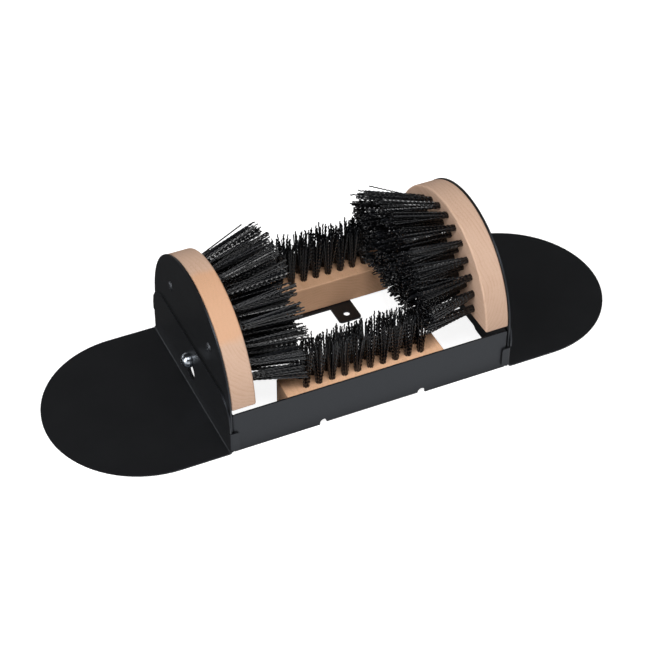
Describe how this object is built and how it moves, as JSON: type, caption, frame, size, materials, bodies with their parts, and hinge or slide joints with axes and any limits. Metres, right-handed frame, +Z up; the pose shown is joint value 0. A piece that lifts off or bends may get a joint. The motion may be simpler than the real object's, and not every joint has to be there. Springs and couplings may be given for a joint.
{
  "type": "boot scraper",
  "caption": "Boot scraper with a folded steel frame, two standing side brushes, two lower brushes and hooked-on tread plates for the feet to hold it down.",
  "frame": {"origin": "on the floor, under the middle of the frame", "axes": "+X to the right tread plate, +Y to the rear rail, +Z up"},
  "size_m": [0.5386, 0.1806, 0.1471],
  "materials": {
    "black_steel": "fine-textured black powder coat, satin",
    "beech": "planed and lightly sanded, untreated",
    "bristle": "crimped black polypropylene",
    "zinc": "bright zinc plated",
    "black_screw": "black zinc plated"
  },
  "bodies": {
    "frame": {"front_rail": "black_steel", "rear_rail": "black_steel", "left_end_plate": "black_steel", "right_end_plate": "black_steel", "left_side_block": "beech", "right_side_block": "beech", "left_side_bristles": "bristle", "right_side_bristles": "bristle", "left_tread_washer": "zinc", "right_tread_washer": "zinc", "left_tread_nut": "zinc", "right_tread_nut": "zinc", "left_front_side_screw": "black_screw", "left_rear_side_screw": "black_screw", "right_front_side_screw": "black_screw", "right_rear_side_screw": "black_screw", "front_brush_block": "beech", "front_bristles": "bristle", "front_left_block_screw": "zinc", "front_right_block_screw": "zinc", "rear_brush_block": "beech", "rear_bristles": "bristle", "rear_left_block_screw": "zinc", "rear_right_block_screw": "zinc"},
    "left_tread": {"left_tread_plate": "black_steel"},
    "right_tread": {"right_tread_plate": "black_steel"},
    "left_clamp_screw": {"left_tread_screw": "zinc"},
    "right_clamp_screw": {"right_tread_screw": "zinc"}
  },
  "joints": [
    {"name": "left_tread_lift", "type": "slide", "parent": "frame", "child": "left_tread", "axis": [0, 0, 1], "range_m": [0, 0.012]},
    {"name": "right_tread_lift", "type": "slide", "parent": "frame", "child": "right_tread", "axis": [0, 0, 1], "range_m": [0, 0.012]},
    {"name": "left_screw_turn", "type": "hinge", "parent": "frame", "child": "left_clamp_screw", "pos_m": [-0.1351, 0, 0.035], "axis": [-1, 0, 0], "range_deg": [0, 720]},
    {"name": "right_screw_turn", "type": "hinge", "parent": "frame", "child": "right_clamp_screw", "pos_m": [0.1351, 0, 0.035], "axis": [1, 0, 0], "range_deg": [0, 720]}
  ]
}
